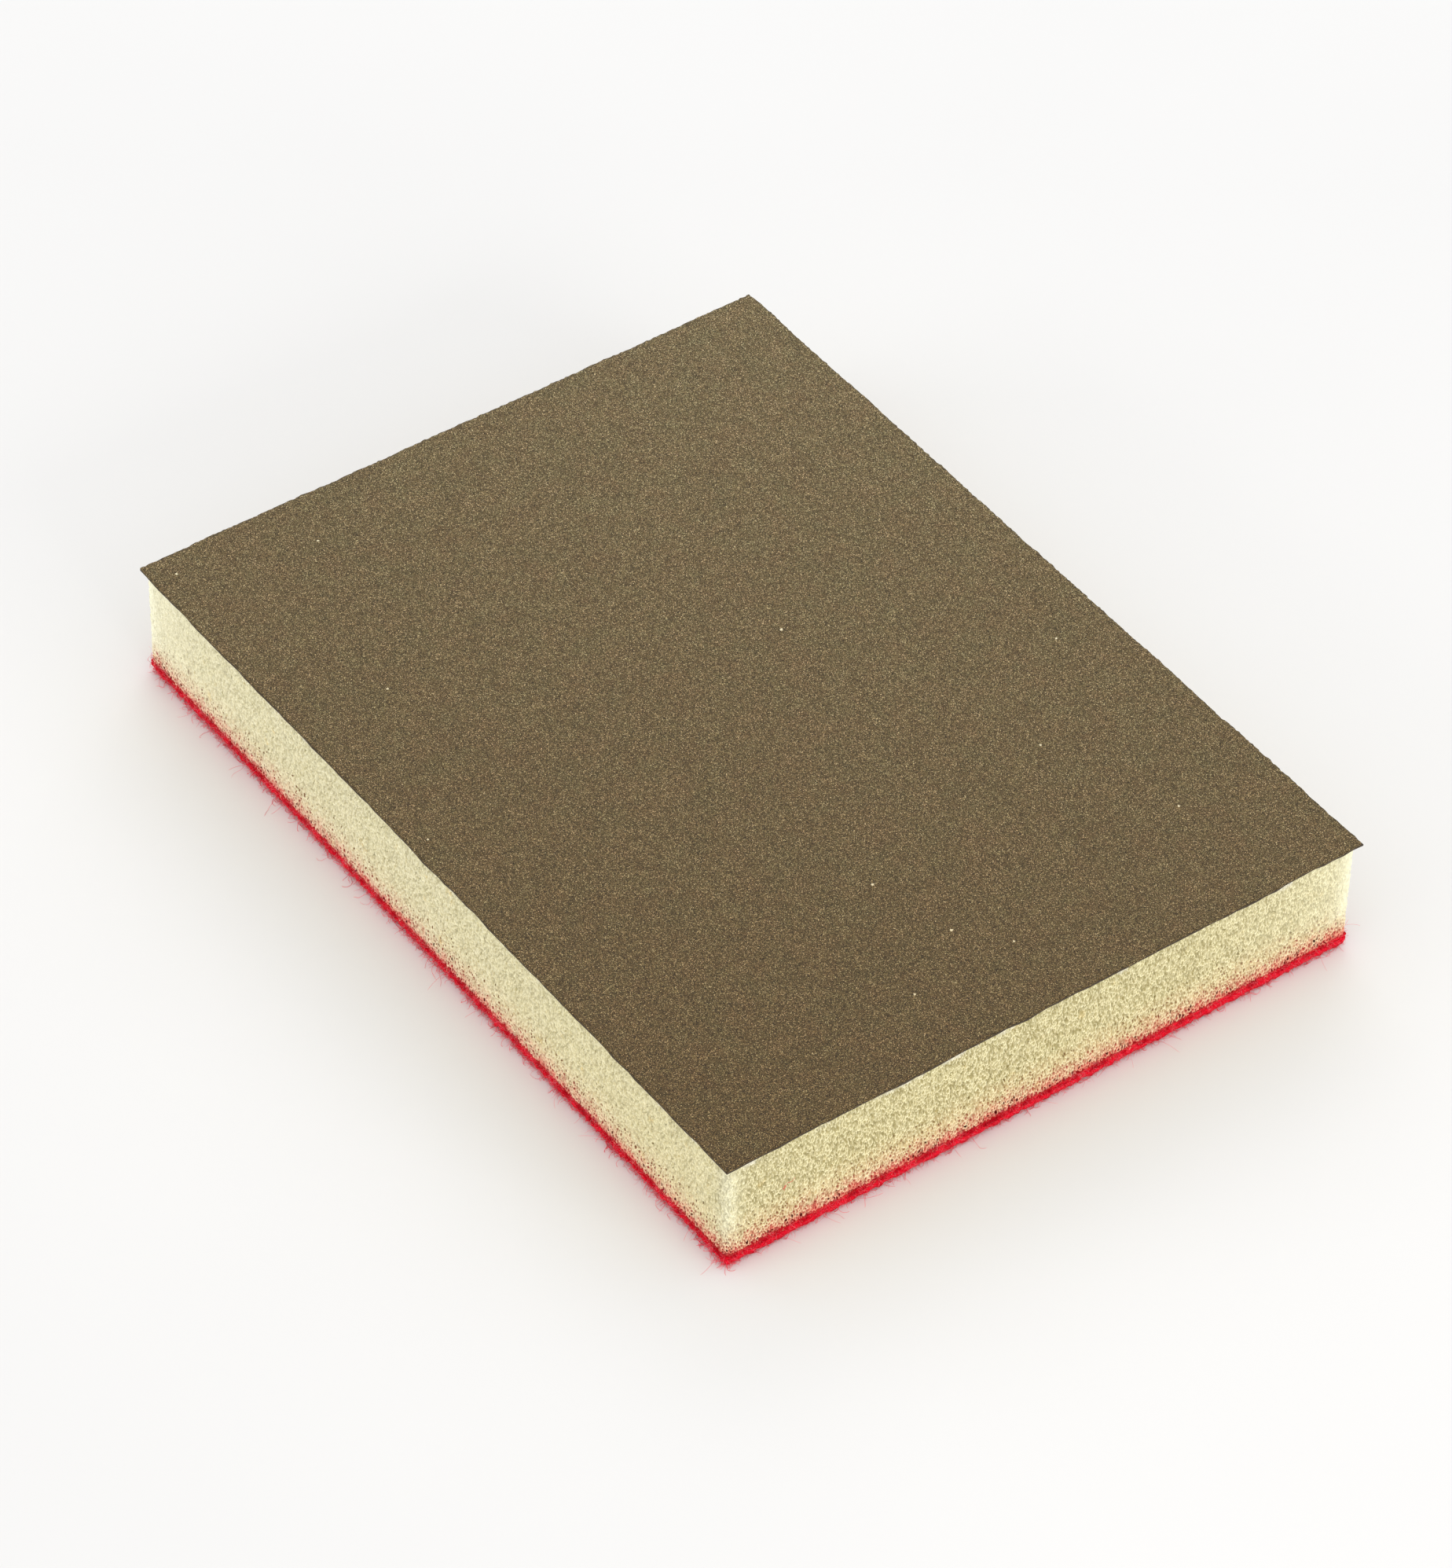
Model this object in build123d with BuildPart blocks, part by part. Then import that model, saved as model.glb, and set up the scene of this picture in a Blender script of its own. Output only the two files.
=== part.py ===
from build123d import *
import os

# Foam-backed hook-and-loop sanding pad, in millimetres.
# It is a flat laminate of nine layers, lying on its loop fabric with the abrasive side up.
# The origin is the centre of the underside. +X runs along the length and +Z points up.

# Plan sizes
sheet_length = 100.0
sheet_width = 75.0
foam_inset = 0.4  # the foam and the layers under it stop this far inside the sheet's cut edge
foam_length = sheet_length - 2 * foam_inset
foam_width = sheet_width - 2 * foam_inset

# Edges
sheet_corner_radius = 0.15  # the sheet is guillotined, so its corners are sharp
foam_corner_radius = 0.6  # the foam's cut cells round its upright corners off
pile_edge_radius = 0.5  # the pile rolls under at its rim

# Thicknesses, from the underside up
pad_thickness = 13.7
loop_pile_thickness = 1.1
loop_ground_thickness = 0.35
lower_adhesive_thickness = 0.08
upper_adhesive_thickness = 0.08
backing_thickness = 0.16
make_coat_thickness = 0.03
grain_thickness = 0.09
size_coat_thickness = 0.03

# Levels of the layers' undersides: the fabric side is stacked up from the floor
loop_ground_bottom = loop_pile_thickness
lower_adhesive_bottom = loop_ground_bottom + loop_ground_thickness
foam_bottom = lower_adhesive_bottom + lower_adhesive_thickness

# The abrasive side is stacked down from the top, and the foam fills what is left
size_coat_bottom = pad_thickness - size_coat_thickness
grain_bottom = size_coat_bottom - grain_thickness
make_coat_bottom = grain_bottom - make_coat_thickness
backing_bottom = make_coat_bottom - backing_thickness
upper_adhesive_bottom = backing_bottom - upper_adhesive_thickness
foam_thickness = upper_adhesive_bottom - foam_bottom


def save(name, piece):
    """Labels one layer with its node's name and writes it to its own file."""
    piece.label = name
    export_step(piece, f"parts/{name}.step")


def sheet_layer(name, bottom, thickness):
    """One layer of the abrasive sheet: full size, with guillotined edges."""
    with BuildPart() as layer:
        with BuildSketch(Plane.XY.offset(bottom)):
            RectangleRounded(sheet_length, sheet_width, sheet_corner_radius)
        extrude(amount=thickness)
    save(name, layer.part)


def foam_sized_layer(name, bottom, thickness):
    """One layer cut together with the foam, with its softer upright corners."""
    with BuildPart() as layer:
        with BuildSketch(Plane.XY.offset(bottom)):
            RectangleRounded(foam_length, foam_width, foam_corner_radius)
        extrude(amount=thickness)
    save(name, layer.part)


def loop_pile_layer():
    """The brushed loops that hooks grip: a soft mat, rolled under all round its lower rim."""
    with BuildPart() as loop_pile:
        with BuildSketch():
            RectangleRounded(foam_length, foam_width, foam_corner_radius)
        extrude(amount=loop_pile_thickness)
        rim = loop_pile.faces().sort_by(Axis.Z)[0].edges()
        fillet(rim, pile_edge_radius)
    save("loop_pile", loop_pile.part)


os.makedirs("parts", exist_ok=True)

# Fabric side
loop_pile_layer()
foam_sized_layer("loop_ground_knit", loop_ground_bottom, loop_ground_thickness)
foam_sized_layer("lower_adhesive", lower_adhesive_bottom, lower_adhesive_thickness)

# Core
foam_sized_layer("foam_core", foam_bottom, foam_thickness)

# Abrasive side
foam_sized_layer("upper_adhesive", upper_adhesive_bottom, upper_adhesive_thickness)
sheet_layer("backing_sheet", backing_bottom, backing_thickness)
sheet_layer("make_coat", make_coat_bottom, make_coat_thickness)
sheet_layer("abrasive_grains", grain_bottom, grain_thickness)
sheet_layer("size_coat", size_coat_bottom, size_coat_thickness)
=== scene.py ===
import math

import bpy
import numpy as np
from mathutils import Matrix, Vector
from mathutils.geometry import delaunay_2d_cdt


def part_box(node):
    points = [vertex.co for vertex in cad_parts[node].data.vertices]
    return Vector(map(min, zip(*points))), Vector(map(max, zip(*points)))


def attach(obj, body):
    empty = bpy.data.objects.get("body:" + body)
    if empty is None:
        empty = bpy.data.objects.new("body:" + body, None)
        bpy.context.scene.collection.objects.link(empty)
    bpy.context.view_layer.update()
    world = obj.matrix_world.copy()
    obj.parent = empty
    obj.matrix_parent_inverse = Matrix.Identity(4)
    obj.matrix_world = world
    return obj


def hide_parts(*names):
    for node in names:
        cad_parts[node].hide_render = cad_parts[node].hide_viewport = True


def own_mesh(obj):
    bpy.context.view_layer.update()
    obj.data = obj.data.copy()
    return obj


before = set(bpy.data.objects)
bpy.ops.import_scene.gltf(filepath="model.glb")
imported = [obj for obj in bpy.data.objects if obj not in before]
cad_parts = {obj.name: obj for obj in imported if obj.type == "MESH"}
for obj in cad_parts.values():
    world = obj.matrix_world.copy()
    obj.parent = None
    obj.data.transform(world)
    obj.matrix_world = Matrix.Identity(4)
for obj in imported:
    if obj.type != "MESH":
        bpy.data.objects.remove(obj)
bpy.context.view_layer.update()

# A foam-backed hook-and-loop sanding pad. Every length below is in metres.
MM = 0.001

# Camera: turned and tilted about the middle of the abrasive face
CAMERA_AZIMUTH = math.radians(53.33)
CAMERA_ELEVATION = math.radians(43.71)
CAMERA_ROLL = math.radians(1.3)
CAMERA_DISTANCE = 653.0 * MM
CAMERA_RIGHT = -1.29 * MM
CAMERA_UP = -7.89 * MM
LENS = 153.67
SENSOR = 36.0

# Light and floor. Each light has a power, a size and a place, and faces the pad.
WORLD_STRENGTH = 1.0
LIGHTS = {
    "key": (0.7, (0.5, 0.35), (-0.45, 0.33, 0.36)),
    "top": (0.2, (0.5, 0.5), (0.15, -0.1, 0.9)),
    "left_fill": (7.2, (1.4, 0.6), (-0.5, -1.8, 0.52)),
    "right_fill": (12.7, (1.4, 0.6), (1.8, 0.24, 0.52)),
}
FLOOR_SIZE = 6.0

# Abrasive sheet
GRID_STEP = 0.3 * MM
COARSE_STEP = 4 * GRID_STEP
GRIT_RELIEF = 0.002 * MM
SHEET_WAVE = 0.07 * MM
NICK = 0.04 * MM
CRYSTAL_COUNT = 20000
CRYSTAL_SIZE = 0.037 * MM
CRYSTAL_LIFT = 0.01 * MM
CRUMB_COUNT = 12
CRUMB_SIZE = 0.2 * MM
GRAIN = 0.064 * MM

# Foam: pores along and up a side, and two layers of struts over a closed heart
PORE = 0.27 * MM
PORE_STRETCH = 1.8
PORE_JITTER = 0.3
STRUT_DEPTH = 0.2 * MM
STRUT_BEND = 0.12
SECOND_SKIN_INSET = 0.3 * MM
SECOND_SKIN_TOP = 0.25
HEART_INSET = 0.6 * MM
HEART_LUMP = 0.12 * MM
FOAM_CORNER = 0.6 * MM
CORNER_GLOW = 1.4 * MM
FRAYED = 0.7 * MM
# The share of pores that are open, and of the closed ones that are deep pits, by height
OPEN_PORES = ((0.01, 0.06, 0.12, 0.2), (0.35, 0.1, 0.02, 0.0))
PITS = ((0.05, 0.15, 0.26, 0.38, 0.5), (1.0, 0.85, 0.4, 0.04, 0.0))
# Where a strut's waist is, as a share of the way from its ridge to the pore's middle, then the
# depths of nodes, waists, dishes and pits in STRUT_DEPTHs, and the painted shade of each hollow
WAIST = (0.2, 0.38)
NODE_DEPTH = 0.9
WAIST_DEPTH = (0.35, 0.7)
DISH_DEPTH = (0.8, 1.4)
PIT_DEPTH = (1.3, 2.0)
WAIST_SHADE = 0.4
DISH_SHADE = (0.35, 0.62)
PIT_SHADE = 1.4

# Loop fabric: a knitted ground, a mat of pile under it, and fibres at its rim and underneath
FABRIC_STEP = 0.4 * MM
WALE = 0.95 * MM
PILE_EDGE = 0.9 * MM
PILE_LUMP = 0.4 * MM
KNIT_LUMP = 0.08 * MM
RIM_LUMP = 0.08 * MM
RIM_ROOT = 0.3 * MM
FOOT_ROOT = 0.32 * MM
FUZZ_COUNT = 18000
FUZZ_RADIUS = 0.01 * MM
FOOT_FUZZ_COUNT = 7500
FOOT_TUFT = 14
CURL_COUNT = 3000
CURL_RADIUS = 0.017 * MM
BUNCH_COUNT = 150
CORNER_TUFT_COUNT = 60
HAIR_COUNT = 70
HAIR_RADIUS = 0.013 * MM
UNDER_LOOP_COUNT = 8400
UNDER_LOOP_RADIUS = 0.028 * MM
# Fibre lengths in millimetres: the typical one, their spread, the shortest and the longest
FUZZ_REACH = (0.26, 0.6, 0.0, 1.2)
FOOT_REACH = (0.5, 0.45, 0.2, 1.2)
CURL_REACH = (1.15, 0.4, 0.6, 2.6)
# How much of the fuzz and of the curls each side has, in the order of SIDE_NAMES
FUZZ_SHARES = (1.4, 1.0, 1.0, 1.6)
CURL_SHARES = (0.5, 1.0, 1.0, 1.7)
# Where a scrap of red lint clings to the foam's front end: along Y, and up from the underside
LINT_PLACE = (-30.5 * MM, 7.4 * MM)
LINT_FIBRES = 4

# The pad's four sides, anticlockwise from the +X end
SIDE_NAMES = ("front_end", "back_side", "back_end", "front_side")

# One seed for each thing that is laid out by chance
SHEET_SEED = 7
GRIT_SEED = 8
CRYSTAL_SEED = 9
HEART_SEED = 16
STRUT_SEED = 27
CELL_SEED = 37
FABRIC_SEED = 47
LINT_SEED = 67


# ---- meshes

def mesh_object(name, points, *face_arrays, smooth=True):
    """An object from an array of points, and arrays of faces that each have one corner count."""
    mesh = bpy.data.meshes.new(name)
    mesh.vertices.add(len(points))
    mesh.vertices.foreach_set("co", np.asarray(points, np.float32).ravel())
    loops = np.concatenate([faces.ravel() for faces in face_arrays])
    totals = np.concatenate([np.full(len(faces), faces.shape[1]) for faces in face_arrays])
    starts = np.concatenate([[0], np.cumsum(totals)[:-1]])
    mesh.loops.add(len(loops))
    mesh.loops.foreach_set("vertex_index", loops.astype(np.int32))
    mesh.polygons.add(len(totals))
    mesh.polygons.foreach_set("loop_start", starts.astype(np.int32))
    mesh.polygons.foreach_set("use_smooth", np.full(len(totals), smooth))
    mesh.update(calc_edges=True)
    mesh.validate()
    made = bpy.data.objects.new(name, mesh)
    bpy.context.scene.collection.objects.link(made)
    return made


def add_attribute(made, name, values):
    """Stores one number for each point, which a material reads by name."""
    attribute = made.data.attributes.new(name, "FLOAT", "POINT")
    attribute.data.foreach_set("value", np.asarray(values, np.float32))


def smooth_noise(values, random, longest, shortest, waves=10):
    """A smooth wandering curve between about -1 and 1, the sum of a few sine waves."""
    total = np.zeros_like(values)
    for length in np.geomspace(longest, shortest, waves):
        phase = random.uniform(0, 2 * math.pi)
        total += np.sin(values * 2 * math.pi / length + phase) * random.uniform(0.5, 1)
    return total / math.sqrt(waves)


def face_grid(node, step):
    """A grid over a node's face: shares from -1 to 1 across and up it, and the places themselves."""
    low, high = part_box(node)
    columns, rows = (round((high[axis] - low[axis]) / step) + 1 for axis in range(2))
    across, up = np.meshgrid(np.linspace(-1, 1, columns), np.linspace(-1, 1, rows))
    return across, up, across * high[0], up * high[1]


def grid_slab(name, points, level, upward):
    """A closed slab: one face is a grid of points, and the other is flat at a level."""
    rows, columns = points.shape[:2]
    index = np.arange(rows * columns).reshape(rows, columns)
    faces = np.stack([index[:-1, :-1], index[:-1, 1:], index[1:, 1:], index[1:, :-1]], axis=-1)
    faces = faces.reshape(-1, 4)
    points = points.reshape(-1, 3)
    rim = np.concatenate([index[0, :-1], index[:-1, -1], index[-1, :0:-1], index[:0:-1, 0]])
    ring = points[rim].copy()
    ring[:, 2] = level
    far = np.arange(len(rim)) + len(points)
    walls = np.stack([rim, far, np.roll(far, -1), np.roll(rim, -1)], axis=-1)
    if upward:
        far = far[::-1]
    else:
        turned_over = [0, 3, 2, 1]
        faces = faces[:, turned_over]
        walls = walls[:, turned_over]
    return mesh_object(name, np.concatenate([points, ring]), faces, walls, far[None, :])


def walk_outline(length, width, radius, along):
    """Points and outward normals at distances along a rounded rectangle, anticlockwise."""
    point = np.zeros((len(along), 2))
    normal = np.zeros((len(along), 2))
    start = 0.0
    corners = ((1, 1), (-1, 1), (-1, -1), (1, -1))
    for number, (side_x, side_y) in enumerate(corners):
        angle = number * math.pi / 2
        outward = np.array([math.cos(angle), math.sin(angle)])
        forward = np.array([-math.sin(angle), math.cos(angle)])
        centre = np.array([side_x * (length / 2 - radius), side_y * (width / 2 - radius)])
        straight = (length if number % 2 else width) - 2 * radius
        here = (along >= start) & (along < start + straight)
        step = (along[here] - start - straight)[:, None]
        point[here] = centre + radius * outward + step * forward
        normal[here] = outward
        start += straight
        arc = math.pi / 2 * radius
        here = (along >= start) & (along < start + arc)
        turn = angle + (along[here] - start) / radius
        normal[here] = np.stack([np.cos(turn), np.sin(turn)], axis=1)
        point[here] = centre + radius * normal[here]
        start += arc
    return point, normal


# ---- node materials

def new_material(name, specular=0.5):
    """An empty node material with its output and Principled shader."""
    material = bpy.data.materials.new(name)
    material.use_nodes = True
    tree = material.node_tree
    tree.nodes.clear()
    shader = tree.nodes.new("ShaderNodeBsdfPrincipled")
    output = tree.nodes.new("ShaderNodeOutputMaterial")
    tree.links.new(shader.outputs["BSDF"], output.inputs["Surface"])
    shader.inputs["Specular IOR Level"].default_value = specular
    return material, tree, shader


def add(tree, kind, inputs=None, **settings):
    """Adds a node, sets its properties, and feeds its inputs with sockets or plain values."""
    made = tree.nodes.new("ShaderNode" + kind)
    for key, value in settings.items():
        setattr(made, key, value)
    for key, value in (inputs or {}).items():
        if isinstance(value, bpy.types.NodeSocket):
            tree.links.new(value, made.inputs[key])
        else:
            made.inputs[key].default_value = value
    return made


def ramp(tree, factor, *stops):
    """A colour ramp from (place, colour) stops."""
    made = add(tree, "ValToRGB", {"Fac": factor})
    elements = made.color_ramp.elements
    while len(elements) < len(stops):
        elements.new(0.5)
    for element, (place, colour) in zip(elements, stops):
        element.position = place
        element.color = (*colour, 1)
    return made.outputs["Color"]


def mix(tree, factor, first, second, blend="MIX"):
    """Mixes two colours, each a socket or an (r, g, b)."""
    colours = [(*colour, 1) if isinstance(colour, tuple) else colour for colour in (first, second)]
    # A Mix node takes its colours at inputs 6 and 7, and gives a colour at output 2
    inputs = {0: factor, 6: colours[0], 7: colours[1]}
    return add(tree, "Mix", inputs, data_type="RGBA", blend_type=blend).outputs[2]


def tint(tree, colour, by, weight=1.0):
    """The colour multiplied by another."""
    return mix(tree, weight, colour, by, "MULTIPLY")


def math_node(tree, operation, first, second=0.0):
    return add(tree, "Math", {0: first, 1: second}, operation=operation).outputs[0]


def scaled(tree, value, start, end, low=0.0, high=1.0):
    """A value that goes from low to high as another goes from start to end, and stops there."""
    inputs = {"Value": value, "From Min": start, "From Max": end, "To Min": low, "To Max": high}
    return add(tree, "MapRange", inputs).outputs["Result"]


def place(tree):
    """Where a point is on the pad, in metres."""
    return add(tree, "TexCoord").outputs["Object"]


def coordinate(tree, axis):
    """Where a point is along the X, Y or Z axis, in metres."""
    return add(tree, "SeparateXYZ", {"Vector": place(tree)}).outputs[axis]


def noise(tree, size, detail=2.0, roughness=0.5):
    """A cloudy pattern with features about size metres wide."""
    inputs = {"Vector": place(tree), "Scale": 1 / size, "Detail": detail, "Roughness": roughness}
    return add(tree, "TexNoise", inputs).outputs["Fac"]


def bump(tree, shader, height, strength, distance):
    made = add(tree, "Bump", {"Height": height, "Strength": strength, "Distance": distance})
    tree.links.new(made.outputs["Normal"], shader.inputs["Normal"])


def set_look(tree, shader, colour, pattern, lowest, highest):
    """Feeds the shader its colour, and a roughness that follows a pattern from 0 to 1."""
    tree.links.new(colour, shader.inputs["Base Color"])
    tree.links.new(scaled(tree, pattern, 0.0, 1.0, lowest, highest), shader.inputs["Roughness"])


def painted_front_shade(tree, colour):
    """The colour with painted shade: darker and warmer towards the front corner, as light falls off
    from the back.
    """
    forward = math_node(tree, "SUBTRACT", coordinate(tree, "X"), coordinate(tree, "Y"))
    weight = scaled(tree, forward, -90 * MM, 90 * MM)
    # Painted shade: this ramp darkens and warms the colour towards the front corner
    glaze = ramp(tree, weight, (0.0, (1.0, 1.0, 1.0)), (1.0, (0.68, 0.59, 0.48)))
    return tint(tree, colour, glaze)


def grit_material():
    """Mineral grit under a resin glaze: pale and dark grains, and faint mottling at two sizes."""
    material, tree, shader = new_material("grit", specular=0.2)
    cells = add(tree, "TexVoronoi", {"Vector": place(tree), "Scale": 1 / GRAIN})
    split = add(tree, "SeparateColor", {"Color": cells.outputs["Color"]})
    grain = ramp(
        tree, split.outputs["Red"],
        (0.0, (0.015, 0.009, 0.003)),
        (0.3, (0.085, 0.059, 0.023)),
        (0.7, (0.185, 0.135, 0.058)),
        (0.93, (0.42, 0.33, 0.165)),
        (1.0, (1.0, 0.84, 0.52)),
    )
    hue = ramp(
        tree, split.outputs["Green"],
        (0.0, (1.0, 0.88, 0.82)),
        (0.5, (0.97, 0.97, 0.97)),
        (1.0, (0.92, 1.0, 0.9)),
    )
    colour = tint(tree, grain, hue, 0.9)
    cloud = noise(tree, 3 * MM, 5, 0.7)
    blotch = ramp(tree, cloud, (0.35, (0.985, 0.92, 0.9)), (0.65, (0.92, 0.955, 0.92)))
    colour = tint(tree, colour, blotch)
    mottle = ramp(tree, noise(tree, 12 * MM, 3), (0.3, (0.985, 0.985, 0.98)), (0.7, (1, 1, 1)))
    colour = tint(tree, colour, mottle)
    # The grit's colour carries painted shade towards the front corner
    set_look(tree, shader, painted_front_shade(tree, colour), split.outputs["Blue"], 0.38, 0.62)
    height = math_node(tree, "ADD", split.outputs["Red"], cells.outputs["Distance"])
    bump(tree, shader, height, 0.7, 0.05 * MM)
    return material


def crystal_material():
    """Single grains: each its own shade of brown, grey or straw, with glossy broken faces."""
    material, tree, shader = new_material("crystals", specular=0.2)
    shade = ramp(
        tree, add(tree, "Attribute", attribute_name="paleness").outputs["Fac"],
        (0.0, (0.125, 0.089, 0.041)),
        (0.5, (0.16, 0.116, 0.055)),
        (0.85, (0.195, 0.145, 0.072)),
        (0.97, (0.27, 0.213, 0.12)),
        (1.0, (0.95, 0.88, 0.62)),
    )
    cloud = ramp(tree, noise(tree, 0.06 * MM), (0.3, (0.8, 0.8, 0.8)), (0.7, (1.1, 1.1, 1.1)))
    # Painted shade towards the front corner, as on the grit
    colour = painted_front_shade(tree, tint(tree, shade, cloud))
    set_look(tree, shader, colour, noise(tree, 0.1 * MM), 0.35, 0.6)
    bump(tree, shader, noise(tree, 0.03 * MM), 0.3, 0.01 * MM)
    return material


def resin_material():
    """The make coat: matte brown resin, seen only at the cut edge."""
    material, tree, shader = new_material("make_coat_resin", specular=0.15)
    cloud = noise(tree, 0.4 * MM, 4)
    colour = ramp(tree, cloud, (0.3, (0.05, 0.036, 0.022)), (0.7, (0.1, 0.075, 0.045)))
    set_look(tree, shader, colour, noise(tree, 0.2 * MM), 0.45, 0.7)
    bump(tree, shader, noise(tree, 0.1 * MM, 3), 0.4, 0.02 * MM)
    return material


def backing_material():
    """Latex-filled paper: a dark, slightly fibrous cut edge and underside."""
    material, tree, shader = new_material("backing_paper", specular=0.15)
    stretch = add(tree, "Mapping", {"Vector": place(tree), "Scale": (1, 1, 6)})
    inputs = {"Vector": stretch.outputs["Vector"], "Scale": 2200, "Detail": 5}
    fibres = add(tree, "TexNoise", inputs).outputs["Fac"]
    colour = ramp(tree, fibres, (0.3, (0.045, 0.034, 0.024)), (0.7, (0.11, 0.085, 0.06)))
    set_look(tree, shader, colour, fibres, 0.7, 0.95)
    bump(tree, shader, fibres, 0.5, 0.03 * MM)
    return material


def foam_material():
    """Cream polyurethane foam with painted shade in its hollows, darkest in the deep pits.

    Low down it turns peach and red: partly the red dye and glue of the fabric it is laminated to,
    partly painted red light bounced up from the fabric. It has a painted glow at its upright
    corners, as of light through thin foam, is paler in patches just under the sheet, slightly
    yellower towards the front end, and smudged here and there. The painted shade in the hollows
    of its two ends is darker than along its sides.
    """
    material, tree, shader = new_material("foam")
    depth = add(tree, "Attribute", attribute_name="pore_shade").outputs["Fac"]
    height = add(tree, "Attribute", attribute_name="foam_height").outputs["Fac"]
    # How much painted glow a point has near an upright corner
    thin = add(tree, "Attribute", attribute_name="corner").outputs["Fac"]
    ragged = scaled(tree, noise(tree, 1.2 * MM), 0.0, 1.0, -0.13, 0.13)
    level = math_node(tree, "ADD", height, ragged)
    # The struts' colour by height, with painted red light from the fabric low down
    strut = ramp(
        tree, level,
        (0.0, (0.95, 0.36, 0.27)),
        (0.05, (0.98, 0.68, 0.49)),
        (0.13, (0.99, 0.84, 0.6)),
        (0.28, (0.99, 0.92, 0.65)),
        (1.0, (0.99, 0.94, 0.675)),
    )
    # Painted shade in the hollows, red low down, partly the fabric's dye and partly painted red light
    hollow = ramp(
        tree, level,
        (0.0, (0.6, 0.09, 0.07)),
        (0.08, (0.6, 0.26, 0.16)),
        (0.2, (0.56, 0.4, 0.2)),
        (0.42, (0.36, 0.3, 0.115)),
        (1.0, (0.37, 0.315, 0.13)),
    )
    # Painted shade in the deep pits, red-brown low down
    pit = ramp(
        tree, level,
        (0.0, (0.42, 0.008, 0.01)),
        (0.1, (0.34, 0.045, 0.03)),
        (0.22, (0.24, 0.1, 0.04)),
        (0.42, (0.2, 0.15, 0.045)),
        (1.0, (0.22, 0.18, 0.06)),
    )
    # The painted shade in the hollows is stronger at the two ends than along the sides
    forward = coordinate(tree, "X")
    at_end = scaled(tree, math_node(tree, "ABSOLUTE", forward), 46 * MM, 50 * MM, 0.55, 1.0)
    hollow_shade = math_node(tree, "MULTIPLY", scaled(tree, depth, 0.22, 0.5), at_end)
    pitted = scaled(tree, depth, 0.6, 0.85)
    colour = mix(tree, pitted, mix(tree, hollow_shade, strut, hollow), pit)
    clouds = ramp(tree, noise(tree, 3.2 * MM, 3), (0.3, (0.98, 0.98, 0.95)), (0.7, (1, 1, 1)))
    colour = tint(tree, colour, clouds)
    specks = ramp(tree, noise(tree, 0.25 * MM, 3), (0.35, (0.92, 0.9, 0.82)), (0.65, (1, 1, 1)))
    colour = tint(tree, colour, specks, 0.8)
    yellower = tint(tree, colour, (0.99, 0.97, 0.89))
    colour = mix(tree, scaled(tree, forward, 0.0, 50 * MM), colour, yellower)
    smudges = ramp(tree, noise(tree, 1.7 * MM, 3), (0.66, (1, 1, 1)), (0.76, (0.97, 0.87, 0.68)))
    colour = tint(tree, colour, smudges)
    # Painted glow at the upright corners, as of light through thin foam, fading out low down
    glow = math_node(tree, "MULTIPLY", thin, scaled(tree, level, 0.05, 0.3))
    colour = mix(tree, glow, colour, (0.99, 0.965, 0.74))
    # Paler in patches just under the sheet
    patchy = scaled(tree, noise(tree, 2.5 * MM, 3), 0.53, 0.62)
    pale_top = math_node(tree, "MULTIPLY", scaled(tree, height, 0.9, 0.99), patchy)
    colour = mix(tree, pale_top, colour, (0.95, 0.93, 0.88))
    set_look(tree, shader, colour, noise(tree, 0.3 * MM), 0.5, 0.75)
    bump(tree, shader, noise(tree, 0.12 * MM, 3), 0.35, 0.03 * MM)
    return material


def glue_material(name, pale, dark):
    """A thin cured hot-melt film, blotchy where it has soaked into the foam."""
    material, tree, shader = new_material(name)
    colour = ramp(tree, noise(tree, 0.7 * MM, 4), (0.35, dark), (0.65, pale))
    set_look(tree, shader, colour, noise(tree, 0.4 * MM), 0.3, 0.6)
    bump(tree, shader, noise(tree, 0.3 * MM, 3), 0.4, 0.03 * MM)
    return material


def shade_between_rows(tree, colour):
    """The colour with painted shade in the furrows between the rows of loops on the underside."""
    turn = math_node(tree, "MULTIPLY", coordinate(tree, "X"), 2 * math.pi / WALE)
    on_row = scaled(tree, math_node(tree, "COSINE", turn), -0.6, 0.5)
    above = scaled(tree, coordinate(tree, "Z"), 0.4 * MM, 0.6 * MM)
    furrow_shade = tint(tree, colour, (0.5, 0.5, 0.5))
    return mix(tree, math_node(tree, "MAXIMUM", on_row, above), furrow_shade, colour)


def fabric_material(name, dark, pale, size, by_fibre=False, shaded_rows=False):
    """Dyed polyester, uneven from one yarn or fibre to the next, with a soft sheen."""
    material, tree, shader = new_material(name, specular=0.08)
    if by_fibre:
        fibre = add(tree, "NewGeometry").outputs["Random Per Island"]
        colour = ramp(tree, fibre, (0.0, dark), (1.0, pale))
    else:
        colour = ramp(tree, noise(tree, size, 4), (0.3, dark), (0.7, pale))
    # Painted shade in the furrows between the rows of loops
    if shaded_rows:
        colour = shade_between_rows(tree, colour)
    patches = ramp(tree, noise(tree, 1.4 * MM, 3), (0.3, (0.88, 0.8, 0.8)), (0.7, (1, 1, 1)))
    colour = tint(tree, colour, patches)
    set_look(tree, shader, colour, noise(tree, size), 0.5, 0.8)
    shader.inputs["Sheen Weight"].default_value = 0.03
    shader.inputs["Sheen Roughness"].default_value = 0.4
    shader.inputs["Sheen Tint"].default_value = (1, 0.1, 0.15, 1)
    bump(tree, shader, noise(tree, size / 2, 3), 0.5, 0.04 * MM)
    return material


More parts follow.
